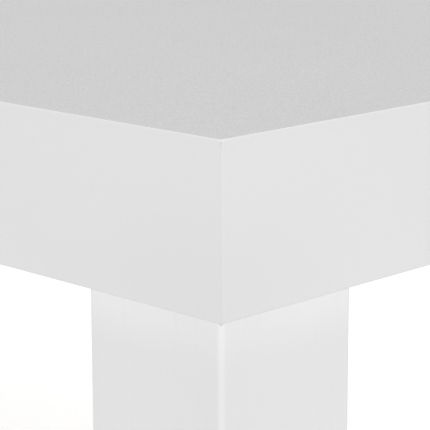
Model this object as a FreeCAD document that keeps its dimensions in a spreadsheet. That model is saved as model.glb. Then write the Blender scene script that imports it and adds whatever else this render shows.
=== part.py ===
# Dining table with flush square legs, about as wide as its edge band is deep.
#
# The frame: X runs along the length, Y across the width, with the front at -Y, and Z up.
# The origin is on the floor under the middle of the top, with the levelling feet screwed in.
#
# Four mitred aprons make the edge band. The core board is let into a rebate in them, and one
# laminate sheet covers both. Each leg is notched on its two outer sides, so that it stands
# flush under the aprons and its stub fits inside their corner, where two hanger bolts pull
# it home against a wooden brace. Three cross rails stiffen the top from below.
import FreeCAD, Part
import os

import Sketcher

doc = FreeCAD.newDocument("dining_table")
sizes = doc.addObject("Spreadsheet::Sheet", "sizes")

# Driving dimensions, in millimetres.
DIMENSIONS = [
    ("table_length", 1800, "outside length of the top"),
    ("table_width", 900, "outside width of the top"),
    ("table_height", 750, "floor to the top's upper face"),
    ("laminate_thick", 1, "textured sheet on the top"),
    ("laminate_corner", 2.5, "plan radius of the sheet's corners"),
    ("laminate_bevel", 0.5, "bevel on the sheet's upper edge"),
    ("core_thick", 18, "board under the sheet"),
    ("backer_thick", 0.6, "balancing sheet under the board"),
    ("apron_height", 83, "depth of the edge band below the sheet"),
    ("apron_thick", 18, "thickness of the edge band"),
    ("rebate_depth", 9, "how far the core board is let into an apron"),
    ("arris", 0.3, "eased lower outer edge of an apron"),
    ("mitre_arris", 0.6, "eased upright edge of the mitred corners"),
    ("leg_size", 90, "side of the square leg"),
    ("leg_round", 3, "radius of the leg's long edges"),
    ("leg_foot_bevel", 2, "bevel round the leg's lower end"),
    ("leg_bottom", 12, "height of the leg's lower end above the floor"),
    ("stub_height", 64, "leg stub inside the aprons"),
    ("stub_chamfer", 24, "chamfer on the stub's inner corner, seat of the bolts"),
    ("brace_thick", 28, "thickness of the corner brace"),
    ("brace_height", 56, "height of the corner brace"),
    ("brace_lift", 4, "brace above the apron's lower edge"),
    ("fixing_low", 14, "lower bolt and screws above the brace's lower face"),
    ("fixing_pitch", 28, "upper bolt and screws above the lower ones"),
    ("brace_screw_seat", 29.5, "seat of a brace screw's head from the apron's outer face"),
    ("bolt_radius", 4, "hanger bolt"),
    ("bolt_length", 92, "hanger bolt, end to end"),
    ("bolt_wood_length", 50, "wood thread of the hanger bolt"),
    ("bolt_start", 58, "pointed end of the bolt from the table's corner along the diagonal"),
    ("bolt_point", 5, "length of the bolt's point"),
    ("bolt_relief", 0.4, "depth of the groove between the bolt's threads"),
    ("bolt_relief_length", 4, "length of the groove between the bolt's threads"),
    ("bolt_end_bevel", 0.8, "bevelled machine end of the bolt"),
    ("washer_radius", 12, "washer under the nut"),
    ("washer_thick", 2, "washer under the nut"),
    ("nut_flats", 13, "hexagon nut across its flats"),
    ("nut_height", 6.5, "hexagon nut"),
    ("nut_bevel", 0.6, "bevel of the nut's corners"),
    ("screw_radius", 2.1, "wood screw"),
    ("screw_head_radius", 4.2, "wood screw"),
    ("screw_head_height", 2.8, "wood screw"),
    ("screw_head_taper", 1, "inset of the head's upper edge"),
    ("screw_point", 4, "length of a wood screw's point"),
    ("screw_recess", 1.6, "depth of the cross recess"),
    ("recess_arm", 2.3, "half length of an arm of the cross recess"),
    ("recess_half", 0.45, "half width of an arm of the cross recess"),
    ("brace_screw_length", 25, "screw from brace to apron, under its head"),
    ("pilot_spare", 0.5, "pilot hole past a screw's point"),
    ("rail_screw_length", 50, "screw from rail to core board, under its head"),
    ("rail_screw_sink", 8, "counterbore of a rail screw"),
    ("rail_screw_spread", 300, "outer rail screws from the table's middle"),
    ("counterbore_radius", 5, "counterbore of a wood screw"),
    ("fit_gap", 0.05, "radial gap of a thread or dowel in its hole"),
    ("clear_gap", 0.5, "radial gap of a clearance hole"),
    ("rail_spacing", 420, "outer cross rails from the middle one"),
    ("rail_wide", 40, "cross rail"),
    ("rail_high", 45, "cross rail"),
    ("rail_bevel", 2, "bevel on a cross rail's lower edges"),
    ("dowel_radius", 4, "dowel between rail and apron"),
    ("dowel_length", 30, "dowel between rail and apron"),
    ("dowel_bevel", 1, "bevelled ends of a dowel"),
    ("dowel_in_apron", 12, "depth of a dowel in the apron"),
    ("dowel_low", 13, "lower dowel above the rail's lower face"),
    ("dowel_pitch", 19, "upper dowel above the lower one"),
    ("spline_centre", 11, "mitre spline from the table's corner, along each apron"),
    ("spline_reach", 8, "depth of a mitre spline in each apron"),
    ("spline_thick", 4, "mitre spline"),
    ("spline_height", 50, "mitre spline"),
    ("block_side", 22, "glue block under the top, along the aprons"),
    ("block_bevel", 9, "bevel on a glue block's free corner"),
    ("block_length", 70, "glue block"),
    ("long_block_outer", 320, "outer glue block from the table's corner, long side"),
    ("long_block_inner", 690, "inner glue block from the table's corner, long side"),
    ("short_block", 350, "glue block from the table's corner, short side"),
    ("insert_radius", 6.5, "threaded insert in the leg"),
    ("insert_length", 18, "threaded insert in the leg"),
    ("insert_flange_radius", 9, "flange of the threaded insert"),
    ("insert_flange_thick", 1.5, "flange of the threaded insert"),
    ("stem_radius", 4, "screw stem of a levelling foot"),
    ("stem_length", 40, "screw stem above its hexagon"),
    ("stem_bevel", 1, "bevelled upper end of the stem"),
    ("stem_hex_flats", 13, "hexagon of the levelling foot"),
    ("stem_hex_height", 4.6, "hexagon of the levelling foot"),
    ("stem_neck_radius", 3, "neck between hexagon and pad"),
    ("stem_head_radius", 5, "riveted head inside the pad"),
    ("stem_head_height", 2.2, "riveted head inside the pad"),
    ("stem_socket_depth", 50, "bore for the stem in the leg"),
    ("pad_radius", 19, "pad of the levelling foot"),
    ("pad_height", 7, "pad of the levelling foot"),
    ("pad_bevel", 2.2, "bevel round the pad's upper edge"),
    ("pad_lip", 1.8, "pad above the riveted head"),
    ("pad_gap", 0.25, "gap round the head and neck in the pad"),
]
for row, (alias, number, meaning) in enumerate(DIMENSIONS, start=1):
    sizes.set(f"A{row}", meaning)
    sizes.set(f"B{row}", str(number))
    sizes.setAlias(f"B{row}", alias)
doc.recompute()

# Expressions that several pieces share. Each is in brackets, so that it can stand in another.
ROOT_TWO = "sqrt(2)"
APRON_TOP = "(sizes.table_height - sizes.laminate_thick)"
APRON_BOTTOM = f"({APRON_TOP} - sizes.apron_height)"
CORE_BOTTOM = f"({APRON_TOP} - sizes.core_thick)"
UNDERSIDE = f"({CORE_BOTTOM} - sizes.backer_thick)"
APRON_LIP = "(sizes.apron_thick - sizes.rebate_depth)"
CORE_LENGTH = f"(sizes.table_length - 2 * {APRON_LIP})"
CORE_WIDTH = f"(sizes.table_width - 2 * {APRON_LIP})"
BRACE_BOTTOM = f"({APRON_BOTTOM} + sizes.brace_lift)"
BRACE_NEAR = f"((2 * sizes.leg_size - sizes.leg_round - sizes.stub_chamfer) / {ROOT_TWO})"
BRACE_FAR = f"({BRACE_NEAR} + sizes.brace_thick)"
BRACE_MIDDLE = f"(({BRACE_NEAR} + sizes.brace_thick / 2) * {ROOT_TWO} - sizes.apron_thick)"
LOW_FIXING = f"({BRACE_BOTTOM} + sizes.fixing_low)"
HIGH_FIXING = f"({LOW_FIXING} + sizes.fixing_pitch)"
THREAD_HOLE = "(sizes.screw_radius + sizes.fit_gap)"
RAIL_BOTTOM = f"({UNDERSIDE} - sizes.rail_high)"
RAIL_SCREW_SEAT = f"({RAIL_BOTTOM} + sizes.rail_screw_sink)"
RAIL_LENGTH = "(sizes.table_width - 2 * sizes.apron_thick)"
HALF_LEG = "(sizes.leg_size / 2)"
FIXING_HEIGHTS = (LOW_FIXING, HIGH_FIXING)
DOWEL_HEIGHTS = (
    f"({RAIL_BOTTOM} + sizes.dowel_low)",
    f"({RAIL_BOTTOM} + sizes.dowel_low + sizes.dowel_pitch)",
)
RAILS = {"left": "-sizes.rail_spacing", "middle": "0", "right": "sizes.rail_spacing"}

X_AXIS = FreeCAD.Vector(1, 0, 0)
Y_AXIS = FreeCAD.Vector(0, 1, 0)
Z_AXIS = FreeCAD.Vector(0, 0, 1)
DIAGONAL = FreeCAD.Vector(1, 1, 0)

# Each corner has a frame of its own: its first axis runs inwards along one apron and its
# second along the other. The number is the turn of that frame about Z, in degrees.
CORNER_TURNS = {"front_left": 0, "front_right": 90, "back_right": 180, "back_left": 270}

# An apron starts at one corner and ends at the next one, going round the table.
APRON_STARTS = {
    "front": ("front_left", "sizes.table_length"),
    "right": ("front_right", "sizes.table_width"),
    "back": ("back_right", "sizes.table_length"),
    "left": ("back_left", "sizes.table_width"),
}

sub_parts = []


# ---- Helpers ----


def measure(expression):
    """The number that an expression gives now."""
    return float(sizes.evalExpression(expression))


def bind(item, bindings):
    """Ties properties of an object to expressions."""
    for path, expression in bindings.items():
        item.setExpression(path, expression)


def name_part(item, label):
    """Marks an object as a sub-part, whose label names its file."""
    item.Label = label
    sub_parts.append(item)


def corner_point(corner, along, inward):
    """X and Y of a point that is given in a corner's own frame."""
    half_length, half_width = "sizes.table_length / 2", "sizes.table_width / 2"
    return {
        "front_left": (f"({along}) - {half_length}", f"({inward}) - {half_width}"),
        "front_right": (f"{half_length} - ({inward})", f"({along}) - {half_width}"),
        "back_right": (f"{half_length} - ({along})", f"{half_width} - ({inward})"),
        "back_left": (f"({inward}) - {half_length}", f"{half_width} - ({along})"),
    }[corner]


def corner_rotation(corner, direction=Z_AXIS):
    """The rotation that takes +Z to a direction given in a corner's own frame."""
    turn = FreeCAD.Rotation(Z_AXIS, CORNER_TURNS[corner])
    return turn.multiply(FreeCAD.Rotation(Z_AXIS, direction))


def stand_at_corner(item, corner, along="0", inward="0", height="0"):
    """Places an object whose own frame is the corner's."""
    item.Placement = FreeCAD.Placement(FreeCAD.Vector(), corner_rotation(corner))
    east, north = corner_point(corner, along, inward)
    bind(item, {"Placement.Base.x": east, "Placement.Base.y": north, "Placement.Base.z": height})


def new_body(name):
    return doc.addObject("PartDesign::Body", name)


def new_sketch(body, name, role, lift="0"):
    """A sketch on one of the body's own planes, moved along that plane's normal."""
    sketch = body.newObject("Sketcher::SketchObject", name)
    plane = next(f for f in body.Origin.OriginFeatures if f.Role == role)
    sketch.AttachmentSupport = [(plane, "")]
    sketch.MapMode = "FlatFace"
    sketch.setExpression("AttachmentOffset.Base.z", lift)
    return sketch


def pin_point(sketch, geometry, vertex, across, up):
    """Holds a sketch point at two expressions, measured from the sketch's origin."""
    for kind, axis, expression in (("DistanceX", -2, across), ("DistanceY", -1, up)):
        number = measure(expression)
        if abs(number) < 1e-9:
            sketch.addConstraint(Sketcher.Constraint("PointOnObject", geometry, vertex, axis))
            continue
        if number > 0:
            ends, signed = (-1, 1, geometry, vertex), expression
        else:
            ends, signed = (geometry, vertex, -1, 1), f"-({expression})"
        index = sketch.addConstraint(Sketcher.Constraint(kind, *ends, abs(number)))
        sketch.setExpression(f"Constraints[{index}]", signed)


def draw_outline(sketch, corners):
    """A closed outline of straight lines through corners that are pairs of expressions."""
    points = [FreeCAD.Vector(measure(across), measure(up), 0) for across, up in corners]
    count = len(points)
    for i in range(count):
        sketch.addGeometry(Part.LineSegment(points[i], points[(i + 1) % count]), False)
    for i in range(count):
        sketch.addConstraint(Sketcher.Constraint("Coincident", i, 2, (i + 1) % count, 1))
    for i, (across, up) in enumerate(corners):
        pin_point(sketch, i, 1, across, up)


def draw_circle(sketch, across, up, radius):
    centre = FreeCAD.Vector(measure(across), measure(up), 0)
    index = sketch.addGeometry(Part.Circle(centre, Z_AXIS, measure(radius)), False)
    pin_point(sketch, index, 3, across, up)
    size = sketch.addConstraint(Sketcher.Constraint("Radius", index, measure(radius)))
    sketch.setExpression(f"Constraints[{size}]", radius)


def pad(body, name, corners, length, lift="0", role="XY_Plane"):
    """Adds an outline's prism to the body, along the plane's normal."""
    sketch = new_sketch(body, f"{name}_outline", role, lift)
    draw_outline(sketch, corners)
    feature = body.newObject("PartDesign::Pad", name)
    feature.Profile = sketch
    feature.setExpression("Length", length)
    doc.recompute()
    return feature


def pocket(body, name, draw, length, lift="0", role="XY_Plane"):
    """Cuts along the plane's normal, and stops the build if it takes nothing away."""
    before = body.Shape.Volume
    sketch = new_sketch(body, f"{name}_outline", role, lift)
    draw(sketch)
    feature = body.newObject("PartDesign::Pocket", name)
    feature.Profile = sketch
    feature.Reversed = True
    feature.setExpression("Length", length)
    doc.recompute()
    if body.Shape.Volume > before - 1:
        raise RuntimeError(f"{body.Name}: {name} cuts nothing")
    return feature


def turned(name, profile):
    """A body turned about Z from a profile of (radius, height) expressions."""
    body = new_body(name)
    sketch = new_sketch(body, f"{name}_profile", "XZ_Plane")
    draw_outline(sketch, profile)
    feature = body.newObject("PartDesign::Revolution", f"{name}_turning")
    feature.Profile = sketch
    feature.ReferenceAxis = (sketch, ["V_Axis"])
    feature.Angle = 360
    doc.recompute()
    return body


def hexagon(flats):
    """Corners of a hexagon across its flats, as expressions."""
    radius = f"({flats} / sqrt(3))"
    return [
        (radius, "0"),
        (f"{radius} / 2", f"{flats} / 2"),
        (f"-{radius} / 2", f"{flats} / 2"),
        (f"-{radius}", "0"),
        (f"-{radius} / 2", f"-{flats} / 2"),
        (f"{radius} / 2", f"-{flats} / 2"),
    ]


def bore(name, across, along, height, direction, radius, depth):
    """A cylinder to cut with. It starts at a point and runs along a direction."""
    drill = doc.addObject("Part::Cylinder", name)
    drill.Placement = FreeCAD.Placement(FreeCAD.Vector(), FreeCAD.Rotation(Z_AXIS, direction))
    bind(drill, {
        "Placement.Base.x": across,
        "Placement.Base.y": along,
        "Placement.Base.z": height,
        "Radius": radius,
        "Height": depth,
    })
    return drill


def drilled(base, name, drills):
    """The base with the drills' cylinders taken away."""
    tools = doc.addObject("Part::Compound", f"{name}_drills")
    tools.Links = drills
    cut = doc.addObject("Part::Cut", name)
    cut.Base = base
    cut.Tool = tools
    doc.recompute()
    if cut.Shape.Volume > base.Shape.Volume - 1:
        raise RuntimeError(f"{name}: drilling takes nothing away")
    return cut


def group(label, master, places):
    """One sub-part of several solids, each a link to the master at a place of its own."""
    links = []
    for number, (across, along, height, rotation) in enumerate(places, start=1):
        link = doc.addObject("App::Link", f"{label}_{number}")
        link.LinkedObject = master
        link.Placement = FreeCAD.Placement(FreeCAD.Vector(), rotation)
        bind(link, {
            "Placement.Base.x": across,
            "Placement.Base.y": along,
            "Placement.Base.z": height,
        })
        links.append(link)
    compound = doc.addObject("Part::Compound", f"{label}_group")
    compound.Links = links
    name_part(compound, label)


def upright_edges(shape, reach):
    """Names of the vertical edges that start below a height."""
    return [
        f"Edge{number}"
        for number, edge in enumerate(shape.Edges, start=1)
        if abs(edge.tangentAt(edge.FirstParameter).z) > 0.99 and edge.BoundBox.ZMin < reach
    ]


def level_edges(shape, height):
    """Names of the edges that lie at a height."""
    return [
        f"Edge{number}"
        for number, edge in enumerate(shape.Edges, start=1)
        if abs(edge.BoundBox.ZMin - height) < 1e-6 and abs(edge.BoundBox.ZMax - height) < 1e-6
    ]


# ---- Top ----


def rail_screw_places():
    """X and Y of the screws that hold the cross rails to the core board."""
    spread = ("-sizes.rail_screw_spread", "0", "sizes.rail_screw_spread")
    return [(across, along) for across in RAILS.values() for along in spread]


def make_top():
    """Core board, balancing sheet and the textured laminate that covers board and aprons."""
    layers = (
        ("top_core", "sizes.core_thick", CORE_BOTTOM, RAIL_SCREW_SEAT),
        ("top_backer", "sizes.backer_thick", UNDERSIDE, RAIL_SCREW_SEAT),
    )
    for label, thick, height, screw_seat in layers:
        board = doc.addObject("Part::Box", f"{label}_board")
        bind(board, {
            "Length": CORE_LENGTH,
            "Width": CORE_WIDTH,
            "Height": thick,
            "Placement.Base.x": f"-{CORE_LENGTH} / 2",
            "Placement.Base.y": f"-{CORE_WIDTH} / 2",
            "Placement.Base.z": height,
        })
        drills = [
            bore(f"{label}_pilot", across, along, screw_seat, Z_AXIS, THREAD_HOLE,
                 "sizes.rail_screw_length + sizes.pilot_spare")
            for across, along in rail_screw_places()
        ]
        name_part(drilled(board, f"{label}_drilled", drills), label)

    body = new_body("laminate")
    half_length, half_width = "sizes.table_length / 2", "sizes.table_width / 2"
    corners = [
        (f"-{half_length}", f"-{half_width}"),
        (half_length, f"-{half_width}"),
        (half_length, half_width),
        (f"-{half_length}", half_width),
    ]
    sheet = pad(body, "laminate_sheet", corners, "sizes.laminate_thick", APRON_TOP)
    rounds = body.newObject("PartDesign::Fillet", "laminate_corners")
    rounds.Base = (sheet, upright_edges(sheet.Shape, measure("sizes.table_height")))
    rounds.setExpression("Radius", "sizes.laminate_corner")
    doc.recompute()
    bevel = body.newObject("PartDesign::Chamfer", "laminate_edge")
    bevel.Base = (rounds, level_edges(rounds.Shape, measure("sizes.table_height")))
    bevel.setExpression("Size", "sizes.laminate_bevel")
    name_part(body, "top_laminate")


# ---- Edge band ----


def spline_corners(length=None):
    """Plan of the spline's slot at an apron's first end, or at its last end if given a length."""
    reach = f"(sizes.spline_reach / {ROOT_TWO})"
    half = f"(sizes.spline_thick / 2 / {ROOT_TWO})"
    centre = "sizes.spline_centre"
    corners = [
        (f"({centre} + {reach} + {half})", f"{centre} - {reach} + {half}"),
        (f"({centre} - {reach} + {half})", f"{centre} + {reach} + {half}"),
        (f"({centre} - {reach} - {half})", f"{centre} + {reach} - {half}"),
        (f"({centre} + {reach} - {half})", f"{centre} - {reach} - {half}"),
    ]
    if length is None:
        return corners
    return [(f"{length} - {across}", up) for across, up in corners]


def make_apron(side):
    """A mitred board, with a rebate for the core board and slots for the mitre splines."""
    corner, length = APRON_STARTS[side]
    body = new_body(f"apron_{side}_board")
    thick, ease = "sizes.apron_thick", "sizes.mitre_arris"
    plan = [
        (ease, "0"),
        (f"{length} - {ease}", "0"),
        (f"{length} - {ease} / 2", f"{ease} / 2"),
        (f"{length} - {thick}", thick),
        (thick, thick),
        (f"{ease} / 2", f"{ease} / 2"),
    ]
    board = pad(body, "board", plan, "sizes.apron_height", APRON_BOTTOM)

    outer_arris = [
        f"Edge{number}"
        for number, edge in enumerate(board.Shape.Edges, start=1)
        if edge.BoundBox.YMax < 1e-6 and abs(edge.BoundBox.ZMax - measure(APRON_BOTTOM)) < 1e-6
    ]
    arris = body.newObject("PartDesign::Chamfer", "lower_arris")
    arris.Base = (board, outer_arris)
    arris.setExpression("Size", "sizes.arris")
    doc.recompute()

    rebate = [
        (APRON_LIP, UNDERSIDE),
        (thick, UNDERSIDE),
        (thick, APRON_TOP),
        (APRON_LIP, APRON_TOP),
    ]
    pocket(body, "rebate", lambda sketch: draw_outline(sketch, rebate), length, role="YZ_Plane")
    for name, corners in (("first_slot", spline_corners()), ("last_slot", spline_corners(length))):
        pocket(body, name, lambda sketch: draw_outline(sketch, corners),
               "sizes.spline_height", BRACE_BOTTOM)

    pilot_end = "sizes.brace_screw_seat - sizes.brace_screw_length - sizes.pilot_spare"
    drills = []
    for height in FIXING_HEIGHTS:
        for along in (BRACE_MIDDLE, f"{length} - {BRACE_MIDDLE}"):
            drills.append(bore("screw_pilot", along, pilot_end, height, Y_AXIS,
                               THREAD_HOLE, "sizes.brace_screw_length"))
    if side in ("front", "back"):
        for height in DOWEL_HEIGHTS:
            for offset in RAILS.values():
                drills.append(bore(
                    "dowel_hole", f"{length} / 2 + {offset}", f"{thick} - sizes.dowel_in_apron",
                    height, Y_AXIS, "sizes.dowel_radius + sizes.fit_gap", thick))
    apron = drilled(body, f"apron_{side}_drilled", drills)
    stand_at_corner(apron, corner)
    name_part(apron, f"apron_{side}")


def make_spline(corner):
    """The loose tongue inside a mitre."""
    body = new_body(f"spline_{corner}")
    pad(body, "tongue", spline_corners(), "sizes.spline_height", BRACE_BOTTOM)
    stand_at_corner(body, corner)
    name_part(body, f"mitre_spline_{corner}")


# ---- Legs ----


def make_leg(corner):
    """A square leg with a notched stub, drilled for its bolts and its levelling foot."""
    body = new_body(f"leg_{corner}_post")
    side, thick = "sizes.leg_size", "sizes.apron_thick"
    square = [("0", "0"), (side, "0"), (side, side), ("0", side)]
    post = pad(body, "post", square, f"{APRON_BOTTOM} - sizes.leg_bottom", "sizes.leg_bottom")
    rounds = body.newObject("PartDesign::Fillet", "long_edges")
    rounds.Base = (post, upright_edges(post.Shape, measure(APRON_BOTTOM)))
    rounds.setExpression("Radius", "sizes.leg_round")
    doc.recompute()
    bevel = body.newObject("PartDesign::Chamfer", "foot_bevel")
    bevel.Base = (rounds, level_edges(rounds.Shape, measure("sizes.leg_bottom")))
    bevel.setExpression("Size", "sizes.leg_foot_bevel")
    doc.recompute()

    cut = "(sizes.leg_size - sizes.stub_chamfer)"
    inner = "(sizes.leg_size - sizes.leg_round)"
    stub = [(thick, thick), (inner, thick), (inner, cut), (cut, inner), (thick, inner)]
    pad(body, "stub", stub, "sizes.stub_height", APRON_BOTTOM)

    for name, radius, depth in (
        ("flange_seat", "sizes.insert_flange_radius + sizes.fit_gap", "sizes.insert_flange_thick"),
        ("insert_bore", "sizes.insert_radius + sizes.fit_gap", "sizes.insert_length"),
        ("stem_bore", "sizes.stem_radius + sizes.clear_gap", "sizes.stem_socket_depth"),
    ):
        pocket(body, name, lambda sketch: draw_circle(sketch, HALF_LEG, HALF_LEG, radius),
               depth, "sizes.leg_bottom")

    start = f"(sizes.bolt_start - sizes.clear_gap) / {ROOT_TWO}"
    drills = [
        bore("bolt_hole", start, start, height, DIAGONAL,
             "sizes.bolt_radius + sizes.fit_gap", "sizes.bolt_length")
        for height in FIXING_HEIGHTS
    ]
    leg = drilled(body, f"leg_{corner}_drilled", drills)
    stand_at_corner(leg, corner)
    name_part(leg, f"leg_{corner}")


def brace_screw_points(depth):
    """A point on each of a brace's two screw lines, at a depth, and the way the screw's head faces."""
    return (((BRACE_MIDDLE, depth), Y_AXIS), ((depth, BRACE_MIDDLE), X_AXIS))


def make_brace(corner):
    """The block across the corner that the leg's chamfer is pulled against by its bolts."""
    body = new_body(f"brace_{corner}_block")
    thick = "sizes.apron_thick"
    near = f"({BRACE_NEAR} * {ROOT_TWO} - {thick})"
    far = f"({BRACE_FAR} * {ROOT_TWO} - {thick})"
    plan = [(near, thick), (far, thick), (thick, far), (thick, near)]
    pad(body, "block", plan, "sizes.brace_height", BRACE_BOTTOM)

    drills = []
    near_face = f"{BRACE_NEAR} / {ROOT_TWO} - sizes.clear_gap"
    for height in FIXING_HEIGHTS:
        drills.append(bore("bolt_hole", near_face, near_face, height, DIAGONAL,
                           "sizes.bolt_radius + sizes.clear_gap", "sizes.brace_thick * 2"))
        for point, direction in brace_screw_points(thick):
            drills.append(bore("screw_hole", *point, height, direction,
                               "sizes.screw_radius + sizes.clear_gap", "sizes.brace_thick"))
        for point, direction in brace_screw_points("sizes.brace_screw_seat"):
            drills.append(bore("counterbore", *point, height, direction,
                               "sizes.counterbore_radius", "sizes.brace_thick"))
    brace = drilled(body, f"brace_{corner}_drilled", drills)
    stand_at_corner(brace, corner)
    name_part(brace, f"corner_brace_{corner}")


# ---- Rails and glue blocks ----


def make_rail(side):
    """A stiffener across the underside, dowelled to the long aprons and screwed to the core."""
    body = new_body(f"rail_{side}_bar")
    half, low = "(sizes.rail_wide / 2)", "sizes.rail_bevel"
    section = [
        (f"-{half}", RAIL_BOTTOM + f" + {low}"),
        (f"-{half} + {low}", RAIL_BOTTOM),
        (f"{half} - {low}", RAIL_BOTTOM),
        (half, RAIL_BOTTOM + f" + {low}"),
        (half, UNDERSIDE),
        (f"-{half}", UNDERSIDE),
    ]
    # The XZ plane's normal is -Y, so the section starts at the rail's far end.
    pad(body, "bar", section, RAIL_LENGTH, f"-{RAIL_LENGTH} / 2", "XZ_Plane")

    in_rail = "(sizes.dowel_length - sizes.dowel_in_apron + sizes.clear_gap)"
    drills = []
    for height in DOWEL_HEIGHTS:
        for start in (f"-{RAIL_LENGTH} / 2", f"{RAIL_LENGTH} / 2 - {in_rail}"):
            drills.append(bore("dowel_hole", "0", start, height, Y_AXIS,
                               "sizes.dowel_radius + sizes.fit_gap", in_rail))
    for along in ("-sizes.rail_screw_spread", "0", "sizes.rail_screw_spread"):
        drills.append(bore("screw_hole", "0", along, RAIL_BOTTOM, Z_AXIS,
                           "sizes.screw_radius + sizes.clear_gap", "sizes.rail_high"))
        drills.append(bore("counterbore", "0", along, RAIL_BOTTOM, Z_AXIS,
                           "sizes.counterbore_radius", "sizes.rail_screw_sink"))
    rail = drilled(body, f"rail_{side}_drilled", drills)
    rail.setExpression("Placement.Base.x", RAILS[side])
    name_part(rail, f"cross_rail_{side}")


def make_glue_blocks():
    """Bevelled blocks glued in the angle between the aprons and the top."""
    body = new_body("glue_block")
    side, bevel = "sizes.block_side", "sizes.block_bevel"
    section = [
        ("0", f"-{side}"),
        (f"{side} - {bevel}", f"-{side}"),
        (side, f"-{side} + {bevel}"),
        (side, "0"),
        ("0", "0"),
    ]
    pad(body, "block", section, "sizes.block_length", "-sizes.block_length / 2", "YZ_Plane")
    for apron, (corner, length) in APRON_STARTS.items():
        if apron in ("front", "back"):
            nearest = ("sizes.long_block_outer", "sizes.long_block_inner")
        else:
            nearest = ("sizes.short_block",)
        places = []
        for distance in nearest:
            for along in (distance, f"{length} - {distance}"):
                east, north = corner_point(corner, along, "sizes.apron_thick")
                places.append((east, north, UNDERSIDE, corner_rotation(corner)))
        group(f"glue_blocks_{apron}", body, places)


# ---- Fixings ----


def wood_screw(name, length):
    """A pan-head screw. Its head sits on the plane Z = 0 and its point is below."""
    radius, head = "sizes.screw_radius", "sizes.screw_head_radius"
    body = turned(name, [
        ("0", f"-{length}"),
        (radius, f"-{length} + sizes.screw_point"),
        (radius, "0"),
        (head, "0"),
        (head, "sizes.screw_head_height / 2"),
        (f"{head} - sizes.screw_head_taper", "sizes.screw_head_height"),
        ("0", "sizes.screw_head_height"),
    ])
    arm, half = "sizes.recess_arm", "sizes.recess_half"
    cross = [
        (arm, f"-{half}"), (arm, half), (half, half), (half, arm), (f"-{half}", arm),
        (f"-{half}", half), (f"-{arm}", half), (f"-{arm}", f"-{half}"), (f"-{half}", f"-{half}"),
        (f"-{half}", f"-{arm}"), (half, f"-{arm}"), (half, f"-{half}"),
    ]
    pocket(body, "cross_recess", lambda sketch: draw_outline(sketch, cross),
           "sizes.screw_recess", "sizes.screw_head_height - sizes.screw_recess")
    return body


def make_screws():
    brace_screw = wood_screw("brace_screw", "sizes.brace_screw_length")
    places = []
    for corner in CORNER_TURNS:
        for height in FIXING_HEIGHTS:
            for point, direction in brace_screw_points("sizes.brace_screw_seat"):
                east, north = corner_point(corner, *point)
                places.append((east, north, height, corner_rotation(corner, direction)))
    group("brace_screws", brace_screw, places)

    rail_screw = wood_screw("rail_screw", "sizes.rail_screw_length")
    head_down = FreeCAD.Rotation(X_AXIS, 180)
    group("rail_screws", rail_screw,
          [(across, along, RAIL_SCREW_SEAT, head_down) for across, along in rail_screw_places()])


def make_dowels():
    radius, length, bevel = "sizes.dowel_radius", "sizes.dowel_length", "sizes.dowel_bevel"
    dowel = turned("dowel", [
        ("0", "0"),
        (f"{radius} - {bevel}", "0"),
        (radius, bevel),
        (radius, f"{length} - {bevel}"),
        (f"{radius} - {bevel}", length),
        ("0", length),
    ])
    outer = "(sizes.table_width / 2 - sizes.apron_thick + sizes.dowel_in_apron)"
    places = []
    for across in RAILS.values():
        for height in DOWEL_HEIGHTS:
            places.append((across, f"-{outer}", height, FreeCAD.Rotation(Z_AXIS, Y_AXIS)))
            places.append((across, outer, height, FreeCAD.Rotation(Z_AXIS, -Y_AXIS)))
    group("rail_dowels", dowel, places)


def hex_nut():
    """A hexagon nut with bevelled corners, standing on Z = 0."""
    body = new_body("nut")
    pad(body, "nut_blank", hexagon("sizes.nut_flats"), "sizes.nut_height")
    pocket(body, "nut_bore",
           lambda sketch: draw_circle(sketch, "0", "0", "sizes.bolt_radius + sizes.fit_gap"),
           "sizes.nut_height")
    flat, height = "(sizes.nut_flats / 2)", "sizes.nut_height"
    outside, drop = "(sizes.nut_flats / sqrt(3) + sizes.nut_bevel)", "(sizes.nut_bevel * 1.5)"
    sketch = new_sketch(body, "nut_bevel_profile", "XZ_Plane")
    draw_outline(sketch, [(flat, height), (outside, f"{height} - {drop}"), (outside, height)])
    groove = body.newObject("PartDesign::Groove", "nut_bevels")
    groove.Profile = sketch
    groove.ReferenceAxis = (sketch, ["V_Axis"])
    groove.Angle = 360
    doc.recompute()
    return body


def make_bolts():
    """Two hanger bolts with washers and nuts at each leg, along the corner's diagonal."""
    radius, length, bevel = "sizes.bolt_radius", "sizes.bolt_length", "sizes.bolt_end_bevel"
    groove_start = "sizes.bolt_wood_length"
    groove_end = "sizes.bolt_wood_length + sizes.bolt_relief_length"
    bolt = turned("hanger_bolt", [
        ("0", "0"),
        (radius, "sizes.bolt_point"),
        (radius, groove_start),
        (f"{radius} - sizes.bolt_relief", groove_start),
        (f"{radius} - sizes.bolt_relief", groove_end),
        (radius, groove_end),
        (radius, f"{length} - {bevel}"),
        (f"{radius} - {bevel}", length),
        ("0", length),
    ])
    hole = "sizes.bolt_radius + sizes.clear_gap"
    washer = turned("washer", [
        (hole, "0"),
        ("sizes.washer_radius", "0"),
        ("sizes.washer_radius", "sizes.washer_thick"),
        (hole, "sizes.washer_thick"),
    ])
    starts = (
        ("hanger_bolts", bolt, "sizes.bolt_start"),
        ("bolt_washers", washer, BRACE_FAR),
        ("bolt_nuts", hex_nut(), f"({BRACE_FAR} + sizes.washer_thick)"),
    )
    for label, master, distance in starts:
        places = []
        for corner in CORNER_TURNS:
            across = f"{distance} / {ROOT_TWO}"
            east, north = corner_point(corner, across, across)
            for height in FIXING_HEIGHTS:
                places.append((east, north, height, corner_rotation(corner, DIAGONAL)))
        group(label, master, places)


# ---- Levelling feet ----


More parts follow.
